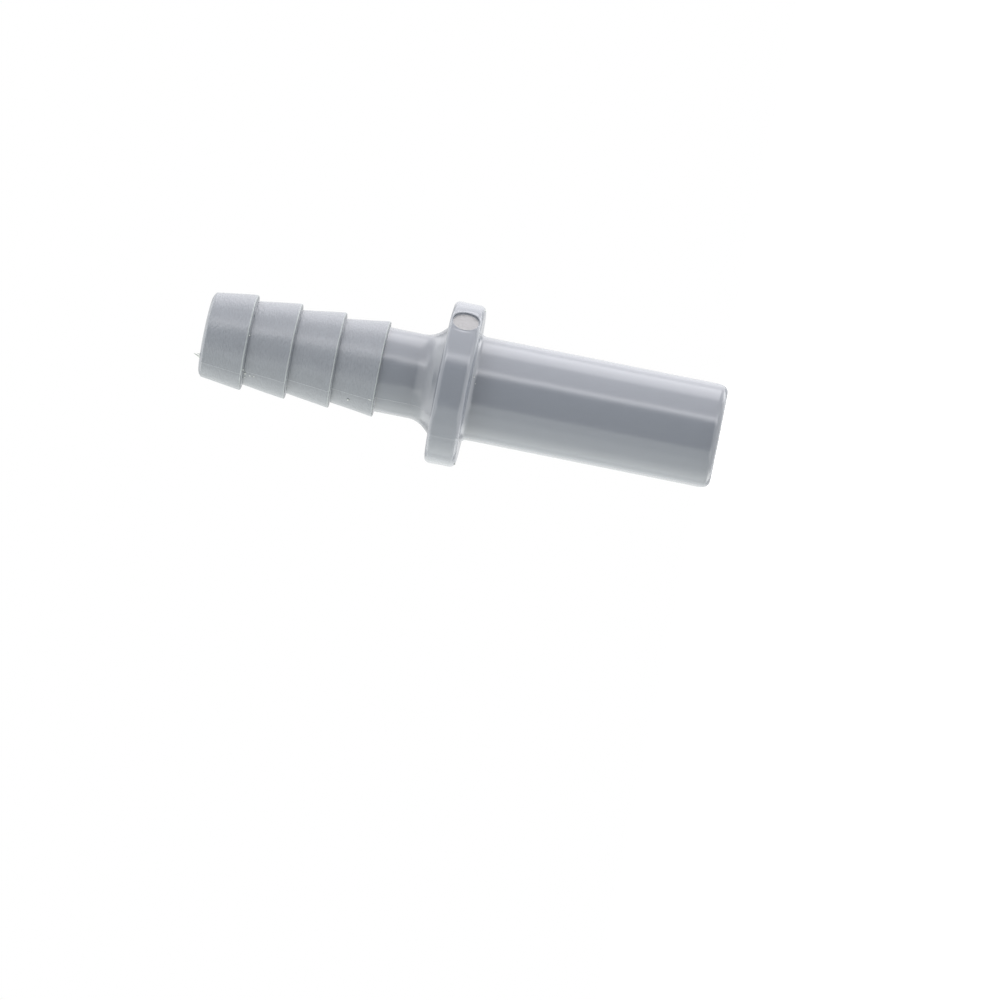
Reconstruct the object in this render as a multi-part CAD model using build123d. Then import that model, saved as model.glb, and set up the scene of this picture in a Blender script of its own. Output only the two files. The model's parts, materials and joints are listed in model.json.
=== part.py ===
from build123d import *

import os

# Stem to barb connector, moulded in one piece. Millimetres, +Z from the stem to the barbed tip.
# The origin is the centre of the stem's flat end, on which the connector stands.

# Stem: a plain tube end that pushes into a tube fitting
stem_diameter = 9.525
stem_length = 22.9
stem_end_radius = 0.72
stem_wall = 1.6
stem_mouth_chamfer = 0.3
stem_root_rise = 0.37
stem_root_radius = 1.0

# Collar: the stop between stem and hose
collar_diameter = 14.9
collar_thickness = 2.9
collar_stem_edge_radius = 0.6
collar_barb_edge_radius = 0.5

# Neck: the smooth part between collar and barbs, flared where it meets the collar
neck_diameter = 7.81
neck_length = 5.33
flare_rise = 1.18
flare_radius = 2.26

# Barbs: saw teeth that grip the hose, steep towards the collar
barb_count = 4
barb_pitch = 4.07
barb_crest_diameter = 8.86
barb_root_diameter = 7.74

# Nose: the blunt end of the last barb
nose_bevel_width = 0.39
nose_bevel_height = 0.29
nose_radius = 1.0
barb_wall = 1.32
barb_mouth_chamfer = 0.15

# Flow passage: the wide stem bore steps down to the barb bore inside the collar
shoulder_inset = 1.0
shoulder_length = 1.05

# Gate recess: a shallow round pocket in the collar's rim, where the mould was filled
gate_diameter = 2.6
gate_depth = 0.26

stem_radius = stem_diameter / 2
stem_bore_radius = stem_radius - stem_wall
collar_radius = collar_diameter / 2
neck_radius = neck_diameter / 2
crest_radius = barb_crest_diameter / 2
root_radius = barb_root_diameter / 2
barb_bore_radius = root_radius - barb_wall

collar_top_z = stem_length + collar_thickness
first_barb_z = collar_top_z + neck_length
tip_z = first_barb_z + barb_count * barb_pitch


def stem_corners():
    """Outside of the stem, from its flat end to the foot cone under the collar: radius, height, rounding."""
    return [
        (stem_radius, 0, stem_end_radius),
        (stem_radius, stem_length - stem_root_rise, stem_root_radius),
        (stem_radius + stem_root_rise, stem_length, 0),
    ]


def collar_corners():
    """The collar's two faces and its rim."""
    return [
        (collar_radius, stem_length, collar_stem_edge_radius),
        (collar_radius, collar_top_z, collar_barb_edge_radius),
    ]


def neck_corners():
    """The flare off the collar, at 45 degrees, and its long sweep down to the neck."""
    return [
        (neck_radius + flare_rise, collar_top_z, 0),
        (neck_radius, collar_top_z + flare_rise, flare_radius),
    ]


def barb_corners():
    """One saw tooth after another: a square step out to the crest, then a cone back to the root."""
    corners = []
    for number in range(barb_count):
        step_z = first_barb_z + number * barb_pitch
        foot_radius = neck_radius if number == 0 else root_radius
        corners.append((foot_radius, step_z, 0))
        corners.append((crest_radius, step_z, 0))
    return corners


def nose_corners():
    """The last cone stops short of the tip in a bevel that rolls over onto the flat end."""
    cone_slope = (crest_radius - root_radius) / barb_pitch
    bevel_z = tip_z - nose_bevel_height
    bevel_radius = root_radius + cone_slope * nose_bevel_height
    return [
        (bevel_radius, bevel_z, 0),
        (bevel_radius - nose_bevel_width, tip_z, nose_radius),
    ]


def bore_corners():
    """The flow passage from the tip down to the stem's end, with a bevelled mouth at each end."""
    shoulder_z = stem_length + shoulder_inset
    return [
        (barb_bore_radius + barb_mouth_chamfer, tip_z, 0),
        (barb_bore_radius, tip_z - barb_mouth_chamfer, 0),
        (barb_bore_radius, shoulder_z + shoulder_length, 0),
        (stem_bore_radius, shoulder_z, 0),
        (stem_bore_radius, stem_mouth_chamfer, 0),
        (stem_bore_radius + stem_mouth_chamfer, 0, 0),
    ]


def turned_body():
    """The whole section as one closed outline, turned about the axis."""
    corners = (
        stem_corners() + collar_corners() + neck_corners()
        + barb_corners() + nose_corners() + bore_corners()
    )
    outline = FilletPolyline(
        [(radius, 0, height) for radius, height, _ in corners],
        radius=[rounding for _, _, rounding in corners],
        close=True,
    )
    return revolve(make_face(outline), axis=Axis.Z)


def gate_recess():
    """The pocket's cutter: a short cylinder square to the rim, pointing to -Y."""
    floor = Plane(
        origin=(0, gate_depth - collar_radius, stem_length + collar_thickness / 2),
        x_dir=(1, 0, 0),
        z_dir=(0, -1, 0),
    )
    rests_on_floor = (Align.CENTER, Align.CENTER, Align.MIN)
    return floor * Cylinder(gate_diameter / 2, 2 * gate_depth, align=rests_on_floor)


connector_body = turned_body() - gate_recess()

os.makedirs("parts", exist_ok=True)
export_step(connector_body, "parts/connector_body.step")
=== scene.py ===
"""Looks of a stem to barb connector, moulded in one piece of grey acetal.

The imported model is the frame: its box and its mounts give the main sizes. The surface made here stands for
the CAD node and has the same form, finished as the moulding is, with broken edges, a parting line, a gate
recess and a little flash. Sizes in the classes are millimetres and angles are radians unless a name says
otherwise. Every mesh is written in metres.
"""

import json
import logging
import math
from dataclasses import dataclass
from enum import Enum, IntEnum

import bpy
import numpy as np
from mathutils import Matrix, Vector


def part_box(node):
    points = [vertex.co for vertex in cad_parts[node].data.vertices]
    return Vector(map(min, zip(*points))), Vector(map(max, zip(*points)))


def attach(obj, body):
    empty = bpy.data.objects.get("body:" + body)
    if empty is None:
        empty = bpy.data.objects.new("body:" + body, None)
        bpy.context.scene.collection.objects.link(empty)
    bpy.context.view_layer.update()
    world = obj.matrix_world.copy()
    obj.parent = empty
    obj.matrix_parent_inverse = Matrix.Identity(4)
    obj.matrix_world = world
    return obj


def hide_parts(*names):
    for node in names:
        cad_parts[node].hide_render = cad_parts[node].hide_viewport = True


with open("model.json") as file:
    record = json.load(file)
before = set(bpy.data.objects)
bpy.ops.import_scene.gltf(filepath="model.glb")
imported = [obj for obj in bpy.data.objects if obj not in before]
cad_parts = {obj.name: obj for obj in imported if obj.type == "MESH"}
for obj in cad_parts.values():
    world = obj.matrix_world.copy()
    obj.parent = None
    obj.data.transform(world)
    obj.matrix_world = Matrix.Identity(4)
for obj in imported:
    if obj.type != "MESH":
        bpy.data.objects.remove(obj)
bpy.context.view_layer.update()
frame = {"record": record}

LOG = logging.getLogger("connector")
MM = 0.001
BODY = "root"
NODE = "connector_body"
# Rows of the grid closer than this to a face's height, in millimetres, belong to the face
ROW_TOLERANCE = 0.01


class FaceFinish(IntEnum):
    """Which finish a face of the connector has: the number of its material slot."""

    POLISHED = 0
    ERODED = 1
    SATIN = 2
    # Crest edges in a lighter grey: a painted highlight, not a finish of the mould
    PAINTED_CREST_HIGHLIGHT = 3
    GATE_FLOOR = 4


# Sizes that the frame states


@dataclass(frozen=True)
class FrameSizes:
    """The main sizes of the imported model."""

    stem_radius: float
    stem_length: float
    stem_bore_radius: float
    collar_radius: float
    crest_radius: float
    barb_length: float
    barb_bore_radius: float
    length: float

    @classmethod
    def read(cls, record: dict) -> "FrameSizes":
        """Takes the sizes from the record's mounts and the node's box.

        Args:
            record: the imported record.

        Returns:
            The sizes, in millimetres.
        """
        mount = {row["name"]: row for row in record["mounts"]}
        _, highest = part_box(NODE)
        return cls(
            stem_radius=mount["stem"]["dims"]["r_mm"],
            stem_length=mount["collar_stop"]["pos_m"][2] / MM,
            stem_bore_radius=mount["stem_bore"]["dims"]["r_mm"],
            collar_radius=highest[0] / MM,
            crest_radius=mount["barb"]["dims"]["r_mm"],
            barb_length=mount["barb"]["dims"]["length_mm"],
            barb_bore_radius=mount["barb_bore"]["dims"]["r_mm"],
            length=mount["barb"]["pos_m"][2] / MM,
        )


# Turned sections and meshes


@dataclass(frozen=True)
class Corner:
    """A corner of the turned section: its rounding, and how far apart the rows lie on the run after it."""

    radius: float
    height: float
    rounding: float
    spacing: float = 0.5


def rounded_section(
    corners: list[Corner], arc_step: float = 0.21, fewest_steps: int = 3, guard: float = 0.035
) -> np.ndarray:
    """Rows of a closed section whose corners are arcs and whose runs are straight.

    A corner at c, with unit directions a into it and b out of it that turn by t, is broken by the arc
    c - a*q*tan(t/2) + q*(sin(s*t)*a + (1 - cos(s*t))*n), where q is its rounding, n the side it turns to
    and s runs from 0 to 1. A guard row stands close to each end of a run, so that the run shades flat.

    Args:
        corners: the section's corners, in order.
        arc_step: the largest turn from one row of an arc to the next.
        fewest_steps: the smallest number of steps of an arc.
        guard: the distance from an arc's end to its guard row.

    Returns:
        An array of (radius, height) rows.
    """
    place = np.array([(corner.radius, corner.height) for corner in corners])
    reach = np.roll(place, -1, axis=0) - place
    ahead = reach / np.linalg.norm(reach, axis=1, keepdims=True)
    behind = np.roll(ahead, 1, axis=0)
    turn = np.arctan2(
        behind[:, 0] * ahead[:, 1] - behind[:, 1] * ahead[:, 0], np.sum(behind * ahead, axis=1)
    )
    side = np.sign(turn)[:, None] * np.column_stack([-behind[:, 1], behind[:, 0]])
    trim = np.array([corner.rounding for corner in corners]) * np.tan(np.abs(turn) / 2)
    start = place - trim[:, None] * behind
    end = place + trim[:, None] * ahead
    pieces = []
    for number, corner in enumerate(corners):
        steps = max(fewest_steps, math.ceil(abs(turn[number]) / arc_step))
        swing = np.linspace(0, abs(turn[number]), steps + 1)[:, None]
        pieces.append(
            start[number]
            + corner.rounding * (np.sin(swing) * behind[number] + (1 - np.cos(swing)) * side[number])
        )
        run = start[(number + 1) % len(corners)] - end[number]
        length = float(np.linalg.norm(run))
        has_room = length > 4 * guard
        if has_room:
            count = max(1, math.ceil((length - 2 * guard) / corner.spacing))
            along = np.linspace(guard, length - guard, count + 1)[:, None] / length
            pieces.append(end[number] + along * run)
    return np.concatenate(pieces)


def section_normals(section: np.ndarray) -> np.ndarray:
    """Unit normals of a closed section, out of the solid: the tangent turned clockwise by a right angle.

    Args:
        section: the (radius, height) rows.

    Returns:
        An array of (radial, axial) normals, a row for each row.
    """
    tangent = np.roll(section, -1, axis=0) - np.roll(section, 1, axis=0)
    normal = np.column_stack([tangent[:, 1], -tangent[:, 0]])
    return normal / np.linalg.norm(normal, axis=1, keepdims=True)


def grid_faces(rows: int, columns: int, close_rows: bool) -> np.ndarray:
    """Quads of a grid whose columns go round: corners (i, j), (i, j+1), (i+1, j+1), (i+1, j).

    Args:
        rows: the number of rows.
        columns: the number of columns.
        close_rows: whether the last row joins the first.

    Returns:
        An array with four vertex numbers for each face.
    """
    row = np.arange(rows if close_rows else rows - 1)[:, None]
    column = np.arange(columns)[None, :]
    next_row = (row + 1) % rows
    next_column = (column + 1) % columns
    corners = [
        row * columns + column,
        row * columns + next_column,
        next_row * columns + next_column,
        next_row * columns + column,
    ]
    return np.stack([np.broadcast_to(c, (len(row), columns)) for c in corners], axis=-1).reshape(-1, 4)


def make_mesh(name: str, points: np.ndarray, faces: np.ndarray) -> bpy.types.Object:
    """Writes vertices and quads into a smooth-shaded object at the origin.

    Args:
        name: the object's name.
        points: the vertices, in millimetres.
        faces: four vertex numbers for each face.

    Returns:
        The new object.
    """
    mesh = bpy.data.meshes.new(name)
    mesh.vertices.add(len(points))
    mesh.vertices.foreach_set("co", (points * MM).astype(np.float32).ravel())
    mesh.loops.add(faces.size)
    mesh.loops.foreach_set("vertex_index", faces.astype(np.int32).ravel())
    mesh.polygons.add(len(faces))
    mesh.polygons.foreach_set("loop_start", np.arange(0, faces.size, 4, dtype=np.int32))
    mesh.polygons.foreach_set("use_smooth", np.ones(len(faces), dtype=bool))
    mesh.update(calc_edges=True)
    mesh.validate()
    piece = bpy.data.objects.new(name, mesh)
    bpy.context.scene.collection.objects.link(piece)
    return piece


def declare(piece: bpy.types.Object) -> None:
    """Makes a piece move with the connector's body and logs its vertices and faces.

    Args:
        piece: the piece to declare.
    """
    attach(piece, BODY)
    LOG.info("%s: %d vertices, %d faces", piece.name, len(piece.data.vertices), len(piece.data.polygons))


# What the mould leaves on the surface


@dataclass(frozen=True)
class Ripple:
    """A shallow unevenness round the axis without a seam.

    It is depth * sqrt(2/waves) * sum of cos(turns*angle + 2*pi*height/wavelength + phase), where each wave
    has its own seeded turns, wavelength and phase.
    """

    depth: float
    turns: tuple[int, int]
    wavelength: tuple[float, float]
    waves: int
    seed: int

    def relief(self, angle: np.ndarray, height: np.ndarray) -> np.ndarray:
        """Works out the unevenness.

        Args:
            angle: angles round the axis.
            height: heights above the stem's end, which broadcast with the angles.

        Returns:
            Distances along the normal.
        """
        numbers = np.random.default_rng(self.seed)
        total = np.zeros(np.broadcast(angle, height).shape)
        for _ in range(self.waves):
            turns = int(numbers.integers(self.turns[0], self.turns[1] + 1)) * int(numbers.choice([-1, 1]))
            wavelength = numbers.uniform(*self.wavelength)
            phase = numbers.uniform(0, 2 * math.pi)
            total += np.cos(turns * angle + 2 * math.pi * height / wavelength + phase)
        return self.depth * math.sqrt(2 / self.waves) * total


@dataclass(frozen=True)
class PartingLine:
    """The fine ridge where the two halves of the mould met, on both sides of the part."""

    turn_degrees: float = -2.5
    ridge: float = 0.026
    half_angle: float = 0.012
    mismatch: float = 0.045
    column_offsets: tuple[float, ...] = (0.005, 0.01, 0.016, 0.025, 0.037)

    def columns(self) -> np.ndarray:
        """Angles of the grid columns that carry the ridge, on both sides of the part.

        Returns:
            The angles, first those of one side and then those opposite.
        """
        offsets = np.array(self.column_offsets)
        local = np.concatenate([-offsets[::-1], [0.0], offsets]) + math.radians(self.turn_degrees)
        return np.concatenate([local, local + math.pi])

    def from_plane(self, angle: np.ndarray) -> np.ndarray:
        """Sine of the angle from the mould's parting plane.

        Args:
            angle: angles round the axis.

        Returns:
            The sine at each angle.
        """
        return np.sin(angle - math.radians(self.turn_degrees))

    def relief(self, angle: np.ndarray) -> np.ndarray:
        """The ridge exp(-(d/w)^2) less the +Y half's sunk step (1 + tanh(d/w))/2, for the side distance d.

        Args:
            angle: angles round the axis.

        Returns:
            Distances along the normal.
        """
        scaled = self.from_plane(angle) / self.half_angle
        return self.ridge * np.exp(-(scaled**2)) - self.mismatch * (1 + np.tanh(scaled)) / 2


# The connector's parts, each with its stretch of the section


@dataclass(frozen=True)
class Stem:
    """The plain tube end, from its flat end face to the foot cone under the collar."""

    sizes: FrameSizes
    end_rounding: float = 0.72
    foot_rise: float = 0.3
    foot_start_rounding: float = 0.5
    foot_end_rounding: float = 0.2
    foot_spacing: float = 0.1

    def corners(self) -> list[Corner]:
        """The stem's outside.

        Returns:
            The corners from the stem's end up.
        """
        radius, top, rise = self.sizes.stem_radius, self.sizes.stem_length, self.foot_rise
        return [
            Corner(radius, 0, self.end_rounding),
            Corner(radius, top - rise, self.foot_start_rounding, self.foot_spacing),
            Corner(radius + rise, top, self.foot_end_rounding),
        ]


@dataclass(frozen=True)
class Collar:
    """The stop between stem and barbs: two flat faces and a rim with rounded edges."""

    sizes: FrameSizes
    thickness: float = 2.9
    stem_edge_rounding: float = 0.6
    barb_edge_rounding: float = 0.5

    @property
    def top(self) -> float:
        """Height of the face on the barb side."""
        return self.sizes.stem_length + self.thickness

    @property
    def middle(self) -> float:
        """Height of the middle of the rim, where the gate is."""
        return self.sizes.stem_length + self.thickness / 2

    def corners(self) -> list[Corner]:
        """The rim's two edges.

        Returns:
            The corners, the stem's side first.
        """
        radius = self.sizes.collar_radius
        return [
            Corner(radius, self.sizes.stem_length, self.stem_edge_rounding),
            Corner(radius, self.top, self.barb_edge_rounding),
        ]

    def rim_radius(self, height: np.ndarray) -> np.ndarray:
        """Radius of the rim, less q - sqrt(q^2 - d^2) where a height lies d past the start of an edge's arc.

        Args:
            height: heights above the stem's end, between the collar's faces.

        Returns:
            The radius at each height.
        """
        radius = np.full(np.shape(height), self.sizes.collar_radius)
        lower, upper = self.stem_edge_rounding, self.barb_edge_rounding
        past_lower = np.clip(self.sizes.stem_length + lower - height, 0, lower)
        past_upper = np.clip(height - (self.top - upper), 0, upper)
        radius -= lower - np.sqrt(lower**2 - past_lower**2)
        return radius - (upper - np.sqrt(upper**2 - past_upper**2))


@dataclass(frozen=True)
class Neck:
    """The smooth part between collar and barbs, with its flare off the collar."""

    radius: float = 3.905
    flare_rise: float = 1.18
    flare_rounding: float = 2.26
    flare_root_rounding: float = 0.08
    flare_spacing: float = 0.2
    spacing: float = 0.25

    def corners(self, collar_top: float) -> list[Corner]:
        """The flare, which starts at 45 degrees and sweeps into the neck.

        Args:
            collar_top: height of the collar's face.

        Returns:
            The corners at the flare's two ends.
        """
        rise = self.flare_rise
        return [
            Corner(self.radius + rise, collar_top, self.flare_root_rounding, self.flare_spacing),
            Corner(self.radius, collar_top + rise, self.flare_rounding, self.spacing),
        ]


@dataclass(frozen=True)
class BarbedTail:
    """The saw teeth and the nose, with the ragged crests that the mould left and a painted highlight on the
    crest edges.
    """

    sizes: FrameSizes
    count: int = 4
    root_radius: float = 3.87
    crest_rounding: float = 0.14
    valley_rounding: float = 0.06
    step_spacing: float = 0.1
    cone_spacing: float = 0.4
    nose_bevel_width: float = 0.39
    nose_bevel_height: float = 0.29
    nose_rounding: float = 1.0
    nose_edge_rounding: float = 0.12
    nose_spacing: float = 0.1
    flat_tip: float = 0.02
    ripple: Ripple = Ripple(0.009, (12, 70), (2.0, 9.0), waves=60, seed=3)
    ripple_reach: float = 0.14
    ripple_before_step: float = 0.1
    nose_without_ripple: float = 1.0
    # The crest-edge band that carries the painted highlight: how deep below the crest, how long past the
    # step, and how far before it
    crest_highlight_depth: float = 0.11
    crest_highlight_length: float = 0.13
    crest_highlight_before_step: float = 0.05

    @property
    def start(self) -> float:
        """Height of the first barb's step."""
        return self.sizes.length - self.sizes.barb_length

    @property
    def pitch(self) -> float:
        """Distance from one barb's step to the next."""
        return self.sizes.barb_length / self.count

    def corners(self, neck_radius: float) -> list[Corner]:
        """One saw tooth after another: a square step out to the crest, then a cone back to the root.

        The last cone ends in a bevel that rolls over onto the flat tip.

        Args:
            neck_radius: the radius at the foot of the first step.

        Returns:
            Two corners for each barb and two for the nose, from the neck to the tip.
        """
        sizes, corners = self.sizes, []
        for number in range(self.count):
            step = self.start + number * self.pitch
            foot = neck_radius if number == 0 else self.root_radius
            corners.append(Corner(foot, step, self.valley_rounding, self.step_spacing))
            corners.append(Corner(sizes.crest_radius, step, self.crest_rounding, self.cone_spacing))
        slope = (sizes.crest_radius - self.root_radius) / self.pitch
        bevel = self.root_radius + slope * self.nose_bevel_height
        bevel_start = sizes.length - self.nose_bevel_height
        corners.append(Corner(bevel, bevel_start, self.nose_edge_rounding, self.nose_spacing))
        corners.append(Corner(bevel - self.nose_bevel_width, sizes.length, self.nose_rounding))
        return corners

    def crest_relief(self, radius: np.ndarray, angle: np.ndarray, height: np.ndarray) -> np.ndarray:
        """The crests' unevenness: their ripple * exp(-(d/reach)^2), for the distance d from a crest.

        Args:
            radius: the rows' radii.
            angle: the columns' angles, which broadcast with the rows.
            height: the rows' heights.

        Returns:
            Distances along the normal.
        """
        above_step = (height - self.start + self.pitch / 2) % self.pitch - self.pitch / 2
        from_crest = np.hypot(radius - self.sizes.crest_radius, above_step)
        past_neck = height > self.start - self.ripple_before_step
        at_crest = past_neck & (height < self.sizes.length - self.nose_without_ripple)
        fade = np.exp(-((from_crest / self.ripple_reach) ** 2))
        return np.where(at_crest, self.ripple.relief(angle, height) * fade, 0.0)

    def on_barbs(self, height: np.ndarray) -> np.ndarray:
        """Whether each height is on the barbs, from the first step to just below the flat tip."""
        return (height > self.start - ROW_TOLERANCE) & (height < self.sizes.length - self.flat_tip)

    def in_crest_highlight(self, radius: np.ndarray, height: np.ndarray) -> np.ndarray:
        """Whether each place on the barbs is on a crest edge, where a lighter colour is a painted highlight.

        Args:
            radius: distances from the axis.
            height: heights above the stem's end.

        Returns:
            True or False for each place.
        """
        before = self.crest_highlight_before_step
        past_step = (height - self.start + before) % self.pitch - before
        near_crest = radius > self.sizes.crest_radius - self.crest_highlight_depth
        return near_crest & (past_step < self.crest_highlight_length)


@dataclass(frozen=True)
class FlowPassage:
    """The bore through the part: wide in the stem, with a shoulder inside the collar, narrow in the barbs."""

    sizes: FrameSizes
    stem_mouth_bevel: float = 0.3
    barb_mouth_bevel: float = 0.15
    shoulder_inset: float = 1.0
    shoulder_length: float = 1.05
    broken_edge: float = 0.03
    spacing: float = 4.0

    def corners(self) -> list[Corner]:
        """The passage with a bevelled mouth at each end.

        Returns:
            The corners from the tip down.
        """
        sizes, edge, spacing = self.sizes, self.broken_edge, self.spacing
        shoulder = sizes.stem_length + self.shoulder_inset
        bevel = self.barb_mouth_bevel
        mouth = self.stem_mouth_bevel
        return [
            Corner(sizes.barb_bore_radius + bevel, sizes.length, edge),
            Corner(sizes.barb_bore_radius, sizes.length - bevel, edge, spacing),
            Corner(sizes.barb_bore_radius, shoulder + self.shoulder_length, edge, spacing),
            Corner(sizes.stem_bore_radius, shoulder, edge, spacing),
            Corner(sizes.stem_bore_radius, mouth, edge),
            Corner(sizes.stem_bore_radius + mouth, 0, edge),
        ]


# The gate recess


@dataclass(frozen=True)
class GateRecess:
    """The shallow round pocket on the collar's rim, square to -Y.

    The grid is square there. Its rings m = max(|p|, |q|) are pulled onto circles up to the lip, and beyond
    the lip they blend back to a square with the given half side. Each row of the wall is how far before the
    lip's level it lies, how much its circle is larger than the pocket's, and how much of the depth it is
    sunk. The last row is the lip with its raised burr.
    """

    radius: float = 1.24
    depth: float = 0.26
    half_side: float = 1.4
    lip_level: float = 0.8
    wall: tuple[tuple[float, float, float], ...] = (
        (0.10, -0.09, 1.0),
        (0.08, -0.05, 1.0),
        (0.06, -0.025, 0.93),
        (0.045, -0.018, 0.8),
        (0.03, -0.008, 0.25),
        (0.015, 0.015, 0.02),
        (0.0, 0.06, -0.24),
    )
    burr_width: float = 0.06
    floor_steps: int = 10
    outer_steps: int = 7
    floor_ripple: Ripple = Ripple(0.006, (20, 60), (0.35, 0.9), waves=40, seed=5)

    def rings(self) -> np.ndarray:
        """The rings of the wall, from its foot to the lip.

        Returns:
            Rows of the ring's level, its circle's radius and its sunk share.
        """
        before_lip, larger, sunk = np.array(self.wall).T
        return np.column_stack([self.lip_level - before_lip, self.radius + larger, sunk])

    def levels(self) -> np.ndarray:
        """The grid's levels, which its rows and its columns both use.

        Returns:
            The levels from -1 to 1, in rising order.
        """
        wall = self.rings()[:, 0]
        inside = np.linspace(0, wall[0], self.floor_steps + 1)[1:-1]
        outside = np.linspace(self.lip_level, 1, self.outer_steps + 1)[1:]
        half = np.concatenate([inside, wall, outside])
        return np.concatenate([-half[::-1], [0.0], half])

    def patch(self, collar: Collar) -> np.ndarray:
        """Points of the square patch that holds the recess.

        Across and along are the patch's sides, p and q from -1 to 1. With m = max(|p|, |q|), a point is at
        (p, q)/hypot(p, q) * ring radius up to the lip, and beyond it blends to (p, q)/m * half the side.
        Its depth runs from the rim, y = -sqrt(r^2 - x^2), to the flat floor.

        Args:
            collar: the collar that the recess is in.

        Returns:
            An array of rows by columns by 3.
        """
        levels = self.levels()
        across, along = np.meshgrid(levels, levels)
        square = np.maximum(np.abs(across), np.abs(along))
        centre = square == 0
        to_circle = np.where(centre, 0, 1 / np.where(centre, 1, np.hypot(across, along)))
        to_square = np.where(centre, 0, self.half_side / np.where(centre, 1, square))
        rings = self.rings()
        ring_radius = np.interp(square, np.append(0, rings[:, 0]), np.append(0, rings[:, 1]))
        beyond = np.clip((square - self.lip_level) / (1 - self.lip_level), 0, 1)
        scale = (1 - beyond) * ring_radius * to_circle + beyond * to_square
        height = collar.middle + scale * along
        rim = collar.rim_radius(height)
        x = scale * across * rim / collar.sizes.collar_radius
        burr_end = self.lip_level + self.burr_width
        sunk = np.interp(square, np.append(rings[:, 0], burr_end), np.append(rings[:, 2], 0))
        floor = self.depth - collar.sizes.collar_radius + self.floor_ripple.relief(x, height)
        y = -(1 - sunk) * np.sqrt(rim**2 - x**2) + sunk * floor
        return np.stack([x, y, height], axis=-1)


# The whole surface


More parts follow.
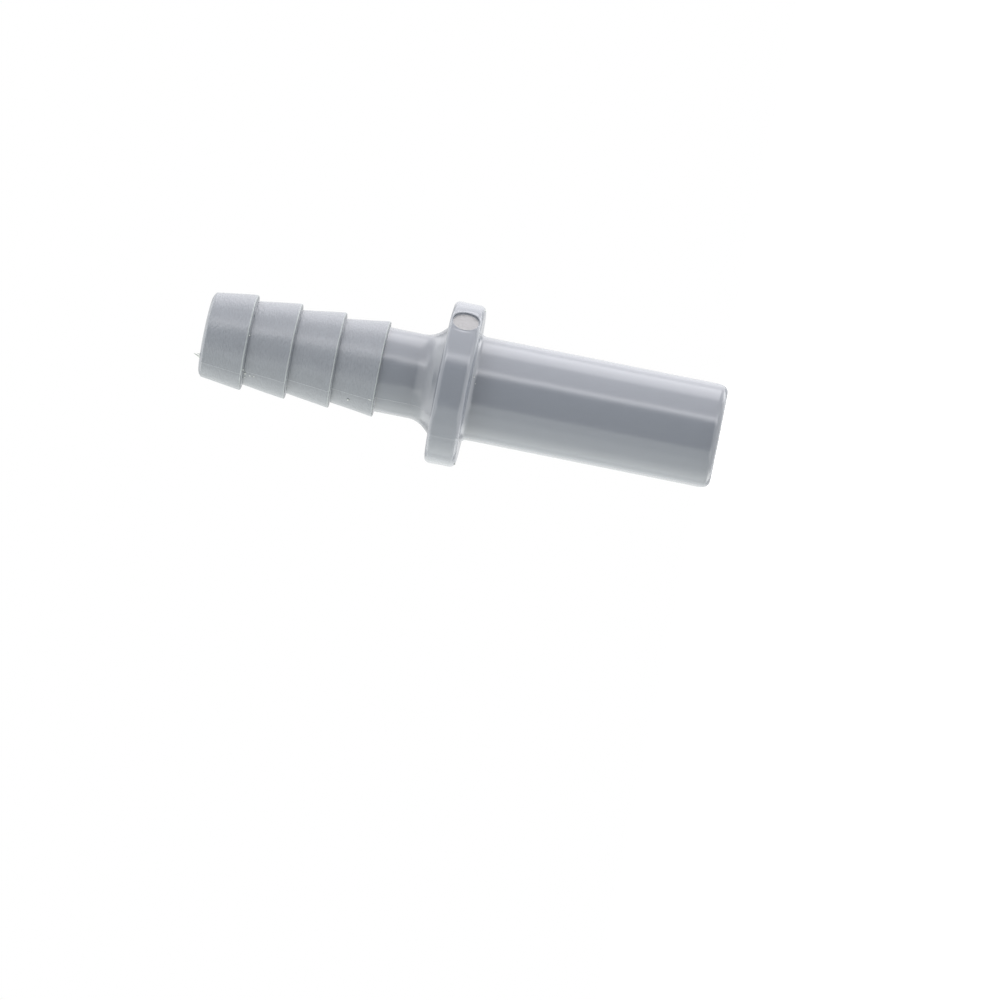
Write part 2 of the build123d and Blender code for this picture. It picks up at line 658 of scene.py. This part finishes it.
@dataclass(frozen=True)
class ConnectorSurface:
    """The whole moulding as one closed turned surface with its gate recess and parting line."""

    sizes: FrameSizes
    stem: Stem
    collar: Collar
    neck: Neck
    tail: BarbedTail
    passage: FlowPassage
    gate: GateRecess = GateRecess()
    gate_clearance: float = 0.014
    parting: PartingLine = PartingLine()
    rim_flash_share: float = 0.4
    rim_flash_beyond_crest: float = 0.8
    column_count: int = 216
    first_angle: float = 0.01
    clear_share: float = 1 / 3
    stem_ripple: Ripple = Ripple(0.003, (0, 5), (3.0, 12.0), waves=30, seed=1)
    neck_ripple: Ripple = Ripple(0.004, (4, 14), (1.5, 5.0), waves=30, seed=2)
    neck_ripple_start: float = 0.4
    neck_ripple_ease: float = 0.5
    skin_past_bevel: float = 0.2
    skin_past_bore: float = 0.4

    @classmethod
    def of_sizes(cls, sizes: FrameSizes) -> "ConnectorSurface":
        """Makes every part to the frame's sizes.

        Args:
            sizes: the sizes that the frame states.

        Returns:
            The surface, not yet built.
        """
        return cls(sizes, Stem(sizes), Collar(sizes), Neck(), BarbedTail(sizes), FlowPassage(sizes))

    def section(self) -> tuple[np.ndarray, int]:
        """The closed section, with the gate's own rows on the collar's rim.

        Returns:
            The (radius, height) rows, and the number of the first of the gate's rows.
        """
        collar, gate = self.collar, self.gate
        outside = self.stem.corners() + collar.corners() + self.neck.corners(collar.top)
        rows = rounded_section(outside + self.tail.corners(self.neck.radius) + self.passage.corners())
        near_rim = rows[:, 0] > self.sizes.collar_radius - collar.stem_edge_rounding
        near_gate = np.abs(rows[:, 1] - collar.middle) < gate.half_side + self.gate_clearance
        replaced = np.flatnonzero(near_rim & near_gate)
        heights = collar.middle + gate.half_side * gate.levels()
        rim = np.column_stack([collar.rim_radius(heights), heights])
        joined = np.concatenate([rows[: replaced[0]], rim, rows[replaced[-1] + 1 :]])
        return joined, int(replaced[0])

    def columns(self) -> tuple[np.ndarray, int]:
        """Angles of the grid's columns: even ones, and fine ones at the gate and the parting line.

        Returns:
            The angles in rising order, and the number of the first of the gate's columns.
        """
        share = self.gate.half_side / self.sizes.collar_radius
        gate = -math.pi / 2 + np.arcsin(self.gate.levels() * share)
        parting = self.parting.columns()
        even = np.linspace(-math.pi, math.pi, self.column_count, endpoint=False) + self.first_angle
        clear = self.clear_share * 2 * math.pi / self.column_count
        clear_of_gate = np.abs(even + math.pi / 2) > math.asin(share) + clear
        half_width = max(self.parting.column_offsets)
        clear_of_parting = np.abs(self.parting.from_plane(even)) > half_width + clear
        angles = np.concatenate([even[clear_of_gate & clear_of_parting], gate, parting])
        angles = np.sort((angles + math.pi) % (2 * math.pi) - math.pi)
        return angles, int(np.argmin(np.abs(angles - gate[0])))

    def relief(self, section: np.ndarray, angles: np.ndarray) -> np.ndarray:
        """Distance of each grid point from the plain turned form, along its normal.

        It is the sum of the stem's ripple, the neck's ripple * (1 + tanh((z - start)/ease))/2, the parting
        line * its share, and the crests' own relief.

        Args:
            section: the (radius, height) rows.
            angles: the columns' angles.

        Returns:
            An array of rows by columns.
        """
        sizes = self.sizes
        radius, height = section[:, :1], section[:, 1:]
        angle = angles[None, :]
        outer = radius > sizes.stem_bore_radius + self.passage.stem_mouth_bevel + self.skin_past_bevel
        moulded = outer & (height > sizes.stem_length - ROW_TOLERANCE)
        past_start = height - sizes.stem_length - self.neck_ripple_start
        ease_in = 0.5 * (1 + np.tanh(past_start / self.neck_ripple_ease))
        total = np.where(outer, self.stem_ripple.relief(angle, height), 0.0)
        total += np.where(moulded, self.neck_ripple.relief(angle, height) * ease_in, 0.0)
        on_rim = radius > sizes.crest_radius + self.rim_flash_beyond_crest
        flash_share = np.where(on_rim, self.rim_flash_share, 1.0)
        total += np.where(moulded, self.parting.relief(angle) * flash_share, 0.0)
        return total + self.tail.crest_relief(radius, angle, height)

    def finish_of_rows(self, section: np.ndarray) -> np.ndarray:
        """Number of the finish of the faces between each row and the next.

        The barbs are eroded, with a painted highlight in a lighter colour on the crest edges. The neck and
        its flare are satin.

        Args:
            section: the (radius, height) rows.

        Returns:
            A material number for each row.
        """
        middle = (section + np.roll(section, -1, axis=0)) / 2
        radius, height = middle[:, 0], middle[:, 1]
        outside = radius > self.sizes.barb_bore_radius + self.skin_past_bore
        barbs = outside & self.tail.on_barbs(height)
        neck = outside & (height > self.collar.top - ROW_TOLERANCE) & (height < self.tail.start)
        finish = np.where(neck, FaceFinish.SATIN, FaceFinish.POLISHED)
        finish = np.where(barbs, FaceFinish.ERODED, finish)
        # The crest edges get the lighter colour of a painted highlight
        return np.where(barbs & self.tail.in_crest_highlight(radius, height), FaceFinish.PAINTED_CREST_HIGHLIGHT, finish)

    def build(self) -> bpy.types.Object:
        """Makes the surface: (r*cos(angle), r*sin(angle), z), each moved along its normal by its relief.

        Returns:
            The object that stands for the CAD node.
        """
        section, first_row = self.section()
        angles, first_column = self.columns()
        normals = section_normals(section)
        relief = self.relief(section, angles)
        radius = section[:, :1] + relief * normals[:, :1]
        height = section[:, 1:] + relief * normals[:, 1:]
        points = np.stack([radius * np.cos(angles), radius * np.sin(angles), height], axis=-1)
        patch = self.gate.patch(self.collar)
        rows = slice(first_row + 1, first_row + len(patch) - 1)
        columns = slice(first_column + 1, first_column + len(patch) - 1)
        points[rows, columns] = patch[1:-1, 1:-1]
        faces = grid_faces(len(section), len(angles), close_rows=True)
        piece = make_mesh("connector_surface", points.reshape(-1, 3), faces)
        finish = np.repeat(self.finish_of_rows(section)[:, None], len(angles), axis=1)
        levels = self.gate.levels()
        on_floor = np.flatnonzero(np.abs(levels[:-1] + levels[1:]) / 2 < self.gate.rings()[0, 0])
        finish[np.ix_(first_row + on_floor, first_column + on_floor)] = FaceFinish.GATE_FLOOR
        piece.data.polygons.foreach_set("material_index", finish.astype(np.int32).ravel())
        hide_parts(NODE)
        declare(piece)
        return piece


# Flash and crumbs


@dataclass(frozen=True)
class Crumb:
    """A small lump on the surface: its place, and its half sizes along the axis, round it and outwards."""

    height: float
    angle_degrees: float
    radius: float
    along: float
    around: float
    out: float
    lean: float = 0.0


@dataclass(frozen=True)
class MouldingFlash:
    """What the mould left loose: a spur on the nose's rim, and crumbs and specks on the surface."""

    crumbs: tuple[Crumb, ...] = (
        Crumb(47.56, -179.0, 3.36, 0.38, 0.07, 0.07, lean=0.5),
        Crumb(47.44, -175.5, 3.36, 0.2, 0.06, 0.06, lean=0.2),
        Crumb(47.34, -179.0, 3.42, 0.14, 0.16, 0.07),
        Crumb(43.28, -181.4, 3.87, 0.09, 0.10, 0.05),
        Crumb(43.05, -187.0, 3.90, 0.10, 0.07, 0.05),
        Crumb(42.60, -188.5, 3.95, 0.09, 0.06, 0.04),
        Crumb(42.21, -188.0, 4.00, 0.08, 0.05, 0.04),
        Crumb(43.05, -194.5, 3.90, 0.06, 0.05, 0.04),
        Crumb(43.27, -131.5, 3.86, 0.08, 0.06, 0.04),
        Crumb(33.48, -194.4, 4.11, 0.10, 0.09, 0.06),
        Crumb(31.52, -182.7, 4.37, 0.14, 0.05, 0.03),
        Crumb(22.66, -129.9, 4.90, 0.04, 0.05, 0.02),
        Crumb(22.42, -136.5, 4.79, 0.035, 0.04, 0.02),
        Crumb(22.95, -60.0, 7.10, 0.08, 0.16, 0.10),
        Crumb(22.95, -225.5, 7.12, 0.06, 0.14, 0.09),
    )
    rings: int = 10
    sectors: int = 14
    unevenness: float = 0.18
    pole_gap: float = 0.02
    seed: int = 11

    def lump(self, crumb: Crumb, numbers: np.random.Generator) -> np.ndarray:
        """Points of one lump: the ellipsoid (out*cos(a), around*sin(a)*sin(b), along*sin(a)*cos(b)).

        Its radius is multiplied by 1 + unevenness * cos(2*a + p) * cos(3*b + q), with seeded p and q. The
        lean shifts it round the axis by lean * the distance along the axis.

        Args:
            crumb: the lump's place and size.
            numbers: the source of p and q.

        Returns:
            An array of rings by sectors by 3.
        """
        polar = np.linspace(self.pole_gap, math.pi - self.pole_gap, self.rings)[:, None]
        turn = np.linspace(0, 2 * math.pi, self.sectors, endpoint=False)[None, :]
        phase = numbers.uniform(0, 2 * math.pi, 2)
        uneven = 1 + self.unevenness * np.cos(2 * polar + phase[0]) * np.cos(3 * turn + phase[1])
        out = crumb.radius + crumb.out * np.cos(polar) * uneven
        along = crumb.along * np.sin(polar) * np.cos(turn) * uneven
        around = crumb.around * np.sin(polar) * np.sin(turn) * uneven + crumb.lean * along
        angle = math.radians(crumb.angle_degrees)
        x = out * math.cos(angle) - around * math.sin(angle)
        y = out * math.sin(angle) + around * math.cos(angle)
        return np.stack([x, y, crumb.height + along], axis=-1)

    def faces(self) -> np.ndarray:
        """Quads of one lump: the grid between its rings and a cap of quads at each end.

        Returns:
            An array with four vertex numbers for each face.
        """
        near = np.arange(self.sectors // 2 - 1)
        far = self.sectors - 1 - near
        cap = np.stack([near, far, far - 1, near + 1], axis=-1)
        other_cap = cap[:, ::-1] + (self.rings - 1) * self.sectors
        sides = grid_faces(self.rings, self.sectors, close_rows=False)
        return np.concatenate([sides, cap, other_cap])

    def build(self) -> bpy.types.Object:
        """Makes all the lumps as closed shells of one object.

        Returns:
            The object, which rides on the connector.
        """
        numbers = np.random.default_rng(self.seed)
        points = np.stack([self.lump(crumb, numbers) for crumb in self.crumbs])
        starts = np.arange(len(self.crumbs)) * self.rings * self.sectors
        faces = (self.faces()[None] + starts[:, None, None]).reshape(-1, 4)
        piece = make_mesh("moulding_flash", points.reshape(-1, 3), faces)
        declare(piece)
        return piece


# Finishes


class Grain(Enum):
    """How a mould wall was finished."""

    POLISHED = "polished"
    ERODED = "eroded"
    SATIN = "satin"
    # Not a mould finish: the lighter colour of a painted highlight on the crest edges
    PAINTED_CREST_HIGHLIGHT = "whitened"
    TORN = "torn"
    LOOSE = "loose"


def add_node(tree: bpy.types.NodeTree, kind: str, **inputs: float | tuple[float, ...]) -> bpy.types.Node:
    """Adds a node and sets its sockets.

    Args:
        tree: the material's or world's nodes.
        kind: the node's type.
        inputs: values for sockets, named with _ for each space.

    Returns:
        The new node.
    """
    node = tree.nodes.new(kind)
    for name, value in inputs.items():
        node.inputs[name.replace("_", " ")].default_value = value
    return node


@dataclass(frozen=True)
class MouldedAcetal:
    """Grey acetal as it leaves the mould. The grain's sizes are across and along the part's axis."""

    grain: Grain
    color: tuple[float, float, float] = (0.086, 0.095, 0.11)
    mottle: float = 0.03
    mottle_size: float = 1.6
    roughness: float = 0.2
    roughness_spread: float = 0.06
    grain_around: float = 0.9
    grain_along: float = 0.9
    grain_depth: float = 0.0006
    streaks: float = 0.0
    refractive_index: float = 1.56

    def material(self) -> bpy.types.Material:
        """Builds the material: mottled colour, uneven gloss and a fine bump, all on Object coordinates.

        The colour is color * (1 -+ mottle) by a coarse noise, times 1 -+ streaks by the grain. The roughness
        is roughness * (1 -+ roughness_spread) by the coarse noise, and the bump is the grain.

        Returns:
            The new material.
        """
        material = bpy.data.materials.new(f"acetal_{self.grain.value}")
        material.use_nodes = True
        tree = material.node_tree
        link = tree.links.new
        shader = tree.nodes["Principled BSDF"]
        shader.inputs["IOR"].default_value = self.refractive_index
        place = add_node(tree, "ShaderNodeTexCoord")

        cloud = add_node(tree, "ShaderNodeTexNoise", Scale=1 / (self.mottle_size * MM), Detail=3.0)
        link(place.outputs["Object"], cloud.inputs["Vector"])
        tint = add_node(tree, "ShaderNodeMix")
        tint.data_type = "RGBA"
        tint.inputs["A"].default_value = (*[c * (1 - self.mottle) for c in self.color], 1)
        tint.inputs["B"].default_value = (*[c * (1 + self.mottle) for c in self.color], 1)
        link(cloud.outputs["Fac"], tint.inputs["Factor"])
        gloss = add_node(
            tree,
            "ShaderNodeMapRange",
            To_Min=self.roughness * (1 - self.roughness_spread),
            To_Max=self.roughness * (1 + self.roughness_spread),
        )
        link(cloud.outputs["Fac"], gloss.inputs["Value"])
        link(gloss.outputs["Result"], shader.inputs["Roughness"])

        around, along = 1 / (self.grain_around * MM), 1 / (self.grain_along * MM)
        stretch = add_node(tree, "ShaderNodeMapping", Scale=(around, around, along))
        link(place.outputs["Object"], stretch.inputs["Vector"])
        grain = add_node(tree, "ShaderNodeTexNoise", Scale=1.0, Detail=2.0)
        link(stretch.outputs["Vector"], grain.inputs["Vector"])
        streak = add_node(
            tree,
            "ShaderNodeMapRange",
            From_Min=0.3,
            From_Max=0.7,
            To_Min=1 - self.streaks,
            To_Max=1 + self.streaks,
        )
        link(grain.outputs["Fac"], streak.inputs["Value"])
        shade = add_node(tree, "ShaderNodeVectorMath")
        shade.operation = "SCALE"
        link(tint.outputs["Result"], shade.inputs["Vector"])
        link(streak.outputs["Result"], shade.inputs["Scale"])
        link(shade.outputs["Vector"], shader.inputs["Base Color"])
        if self.grain_depth:
            bump = add_node(tree, "ShaderNodeBump", Distance=self.grain_depth * MM)
            link(grain.outputs["Fac"], bump.inputs["Height"])
            link(bump.outputs["Normal"], shader.inputs["Normal"])
        return material


POLISHED = MouldedAcetal(Grain.POLISHED)
ERODED = MouldedAcetal(
    Grain.ERODED,
    color=(0.083, 0.092, 0.104),
    roughness=0.32,
    mottle=0.05,
    grain_around=0.34,
    grain_along=0.12,
    grain_depth=0.036,
    streaks=0.09,
)
SATIN = MouldedAcetal(Grain.SATIN, color=(0.0825, 0.0915, 0.1055), roughness=0.25, grain_depth=0.0)
# Lighter grey on the crest edges: a painted highlight that stands in for the light line the rounded crests
# catch
PAINTED_CREST_HIGHLIGHT = MouldedAcetal(Grain.PAINTED_CREST_HIGHLIGHT, color=(0.148, 0.163, 0.166), roughness=0.4, grain_depth=0.002)
GATE_FLOOR = MouldedAcetal(
    Grain.TORN,
    color=(0.118, 0.117, 0.118),
    mottle=0.12,
    mottle_size=0.5,
    roughness=0.4,
    grain_around=0.3,
    grain_along=0.3,
    grain_depth=0.012,
)
SURFACE_FINISHES = {
    FaceFinish.POLISHED: POLISHED,
    FaceFinish.ERODED: ERODED,
    FaceFinish.SATIN: SATIN,
    FaceFinish.PAINTED_CREST_HIGHLIGHT: PAINTED_CREST_HIGHLIGHT,
    FaceFinish.GATE_FLOOR: GATE_FLOOR,
}
CRUMBS = MouldedAcetal(Grain.LOOSE, color=(0.33, 0.35, 0.33), roughness=0.5, grain_depth=0.0)


# Camera, lamps, floor


@dataclass(frozen=True)
class PhotoCamera:
    """The photograph's camera: where it stands, and where the stem's end falls in the image."""

    image_size: float = 1000.0
    focal_pixels: float = 7600.0
    pixels_per_mm: float = 11.06
    azimuth_degrees: float = -140.5
    tilt_degrees: float = 1.4
    roll_degrees: float = 11.4
    stem_end_pixel: tuple[float, float] = (719.15, 437.4)
    sensor_mm: float = 36.0
    near_m: float = 0.01
    far_m: float = 20.0

    def towards(self) -> np.ndarray:
        """Horizontal direction from the part to the camera."""
        azimuth = math.radians(self.azimuth_degrees)
        return np.array([math.cos(azimuth), math.sin(azimuth), 0.0])

    def sideways(self) -> np.ndarray:
        """Horizontal direction that is up in the image: the axis crossed with the camera's direction."""
        return np.cross([0.0, 0.0, 1.0], self.towards())

    def pose(self) -> Matrix:
        """The camera's matrix: its right, up and back directions and its place.

        The stem points right and falls by the roll. The place is where the stem's end, at the origin, lies
        (pixel - centre) / focal length * distance from the image's middle.

        Returns:
            The matrix, in metres.
        """
        tilt, roll = math.radians(self.tilt_degrees), math.radians(self.roll_degrees)
        down = np.array([0.0, 0.0, -1.0])
        back = math.sin(tilt) * down + math.cos(tilt) * self.towards()
        stemward = math.cos(tilt) * down - math.sin(tilt) * self.towards()
        right = math.cos(roll) * stemward + math.sin(roll) * self.sideways()
        up = -math.sin(roll) * stemward + math.cos(roll) * self.sideways()
        distance = self.focal_pixels / self.pixels_per_mm
        x = (self.stem_end_pixel[0] - self.image_size / 2) / self.focal_pixels * distance
        y = (self.image_size / 2 - self.stem_end_pixel[1]) / self.focal_pixels * distance
        place = (distance * back - x * right - y * up) * MM
        matrix = np.eye(4)
        matrix[:3, 0], matrix[:3, 1], matrix[:3, 2], matrix[:3, 3] = right, up, back, place
        return Matrix(matrix.tolist())

    def build(self) -> None:
        """Puts the camera into the scene."""
        data = bpy.data.cameras.new("photo_camera")
        data.sensor_width = self.sensor_mm
        data.lens = self.focal_pixels / self.image_size * self.sensor_mm
        data.clip_start, data.clip_end = self.near_m, self.far_m
        camera = bpy.data.objects.new("photo_camera", data)
        camera.matrix_world = self.pose()
        bpy.context.scene.collection.objects.link(camera)
        bpy.context.scene.camera = camera
        LOG.info("photo_camera: %.1f mm lens", data.lens)


class Ring(Enum):
    """A circle of lamps round the part that starts at the camera's direction."""

    ROUND_THE_AXIS = "round the axis"
    OVER_THE_ENDS = "over the ends"


# Colours of the room on the side that is up in the image, and on the other
LILAC = (1.01, 0.99, 1.02)
GREENISH = (0.97, 1.0, 0.96)


@dataclass(frozen=True)
class SoftPanel:
    """A long flat lamp on one of the two rings, between two angles from the camera's direction.

    Positive angles go to the side that is up in the image, or to the barbed tip. The length runs along the
    axis, or over the ends across it.
    """

    name: str
    ring: Ring
    from_degrees: float
    to_degrees: float
    radiance: float
    tint: tuple[float, float, float] = (1.0, 1.0, 1.0)
    distance_m: float = 0.45
    length_m: float = 0.9
    aim_height_m: float = 0.024

    def build(self, camera: PhotoCamera) -> None:
        """Hangs the lamp so that it faces the part.

        Its power is pi * area * radiance, and its width 2 * distance * tan(half its angle).

        Args:
            camera: the camera that the angles are counted from.
        """
        middle = math.radians((self.from_degrees + self.to_degrees) / 2)
        half = math.radians(abs(self.to_degrees - self.from_degrees) / 2)
        axis, sideways = np.array([0.0, 0.0, 1.0]), camera.sideways()
        round_axis = self.ring is Ring.ROUND_THE_AXIS
        aside, lengthways = (sideways, axis) if round_axis else (axis, -sideways)
        facing = math.cos(middle) * camera.towards() + math.sin(middle) * aside
        data = bpy.data.lights.new(self.name, "AREA")
        data.shape = "RECTANGLE"
        data.size = 2 * self.distance_m * math.tan(half)
        data.size_y = self.length_m
        data.energy = math.pi * data.size * data.size_y * self.radiance
        data.color = self.tint
        lamp = bpy.data.objects.new(self.name, data)
        matrix = np.eye(4)
        matrix[:3, 0] = np.cross(lengthways, facing)
        matrix[:3, 1] = lengthways
        matrix[:3, 2] = facing
        matrix[:3, 3] = facing * self.distance_m + axis * self.aim_height_m
        lamp.matrix_world = Matrix(matrix.tolist())
        lamp.visible_camera = False
        bpy.context.scene.collection.objects.link(lamp)
        LOG.info("%s: %.3f m wide, %.2f W", self.name, data.size, data.energy)


@dataclass(frozen=True)
class Studio:
    """The room: lamps, a white world and a white floor under the stem's end."""

    camera: PhotoCamera
    panels: tuple[SoftPanel, ...] = (
        SoftPanel("softbox_fringe", Ring.ROUND_THE_AXIS, 29, 34, 2.6, LILAC),
        SoftPanel("softbox_edge", Ring.ROUND_THE_AXIS, 34, 41, 6.2, LILAC),
        SoftPanel("upper_softbox", Ring.ROUND_THE_AXIS, 41, 86, 2.5, LILAC),
        SoftPanel("upper_backdrop", Ring.ROUND_THE_AXIS, 86, 122, 2.1, LILAC),
        SoftPanel(
            "upper_backdrop_strip", Ring.ROUND_THE_AXIS, 86, 122, 2.65, LILAC, distance_m=0.44, length_m=0.22
        ),
        SoftPanel("upper_far_backdrop", Ring.ROUND_THE_AXIS, 122, 145, 1.85, LILAC),
        SoftPanel("upper_rear_backdrop", Ring.ROUND_THE_AXIS, 145, 157, 1.0, LILAC, length_m=0.3),
        SoftPanel("upper_end_backdrop", Ring.ROUND_THE_AXIS, 157, 168, 0.5, LILAC, length_m=0.3),
        SoftPanel("lower_softbox", Ring.ROUND_THE_AXIS, -60, -35, 1.6, GREENISH),
        SoftPanel("lower_panel", Ring.ROUND_THE_AXIS, -92, -60, 2.1, GREENISH),
        SoftPanel("lower_backdrop", Ring.ROUND_THE_AXIS, -122, -92, 2.5, GREENISH),
        SoftPanel("lower_far_backdrop", Ring.ROUND_THE_AXIS, -145, -122, 1.3, GREENISH),
        SoftPanel("lower_rear_backdrop", Ring.ROUND_THE_AXIS, -157, -145, 0.9, GREENISH, length_m=0.3),
        SoftPanel("lower_end_backdrop", Ring.ROUND_THE_AXIS, -168, -157, 0.5, GREENISH, length_m=0.3),
        SoftPanel("tip_front", Ring.OVER_THE_ENDS, 14, 60, 1.6),
        SoftPanel("tip_side", Ring.OVER_THE_ENDS, 60, 82, 2.2),
        SoftPanel("tip_end", Ring.OVER_THE_ENDS, 82, 115, 3.0),
        SoftPanel("tip_back", Ring.OVER_THE_ENDS, 115, 145, 1.6),
        SoftPanel("stem_front", Ring.OVER_THE_ENDS, -60, -26, 1.9),
        SoftPanel("stem_side", Ring.OVER_THE_ENDS, -95, -60, 2.7),
        SoftPanel("stem_back", Ring.OVER_THE_ENDS, -145, -95, 2.2),
    )
    floor_size_m: float = 1.5
    floor_gap_m: float = 0.00002
    floor_white: float = 0.8
    floor_glow: float = 0.45
    floor_near_m: float = 0.08
    floor_far_m: float = 0.3

    def build_world(self) -> None:
        """White to the camera, in reflections and through clear things, and dark to diffuse light."""
        world = bpy.data.worlds.new("white_room")
        bpy.context.scene.world = world
        world.use_nodes = True
        tree = world.node_tree
        link = tree.links.new
        tree.nodes.clear()
        path = add_node(tree, "ShaderNodeLightPath")
        seen = add_node(tree, "ShaderNodeMath")
        seen.operation = "MAXIMUM"
        link(path.outputs["Is Camera Ray"], seen.inputs[0])
        link(path.outputs["Is Glossy Ray"], seen.inputs[1])
        also = add_node(tree, "ShaderNodeMath")
        also.operation = "MAXIMUM"
        link(seen.outputs["Value"], also.inputs[0])
        link(path.outputs["Is Transmission Ray"], also.inputs[1])
        white = add_node(tree, "ShaderNodeBackground", Color=(1, 1, 1, 1))
        link(also.outputs["Value"], white.inputs["Strength"])
        output = add_node(tree, "ShaderNodeOutputWorld")
        link(white.outputs["Background"], output.inputs["Surface"])

    def build_floor(self) -> None:
        """A matt white sheet under the stem's end, which keeps the part's shadow.

        It glows to the camera, by floor_glow up to floor_near_m from the part and by 1 from floor_far_m on.
        """
        half = self.floor_size_m / 2 / MM
        low = -self.floor_gap_m / MM
        corners = np.array([(-half, -half, low), (half, -half, low), (half, half, low), (-half, half, low)])
        floor = make_mesh("floor", corners, np.array([[0, 1, 2, 3]]))
        material = bpy.data.materials.new("white_floor")
        material.use_nodes = True
        tree = material.node_tree
        link = tree.links.new
        shader = tree.nodes["Principled BSDF"]
        shader.inputs["Base Color"].default_value = (*[self.floor_white] * 3, 1)
        shader.inputs["Roughness"].default_value = 1.0
        shader.inputs["Specular IOR Level"].default_value = 0.0
        shader.inputs["Emission Color"].default_value = (1, 1, 1, 1)
        place = add_node(tree, "ShaderNodeTexCoord")
        reach = add_node(tree, "ShaderNodeVectorMath")
        reach.operation = "LENGTH"
        link(place.outputs["Object"], reach.inputs[0])
        outwards = add_node(
            tree,
            "ShaderNodeMapRange",
            From_Min=self.floor_near_m,
            From_Max=self.floor_far_m,
            To_Min=self.floor_glow,
            To_Max=1.0,
        )
        link(reach.outputs["Value"], outwards.inputs["Value"])
        path = add_node(tree, "ShaderNodeLightPath")
        glow = add_node(tree, "ShaderNodeMath")
        glow.operation = "MULTIPLY"
        link(path.outputs["Is Camera Ray"], glow.inputs[0])
        link(outwards.outputs["Result"], glow.inputs[1])
        link(glow.outputs["Value"], shader.inputs["Emission Strength"])
        floor.data.materials.append(material)
        floor.visible_glossy = False
        floor.visible_shadow = False

    def build(self) -> None:
        """Builds the room round the part."""
        self.build_world()
        self.build_floor()
        for panel in self.panels:
            panel.build(self.camera)
        self.camera.build()
        bpy.context.scene.view_settings.view_transform = "Standard"


def main() -> None:
    """Builds the connector and its studio."""
    logging.basicConfig(level=logging.INFO, format="%(name)s %(message)s")
    surface = ConnectorSurface.of_sizes(FrameSizes.read(frame["record"])).build()
    for face_finish in FaceFinish:
        surface.data.materials.append(SURFACE_FINISHES[face_finish].material())
    MouldingFlash().build().data.materials.append(CRUMBS.material())
    Studio(PhotoCamera()).build()


if __name__ == "__main__":
    main()
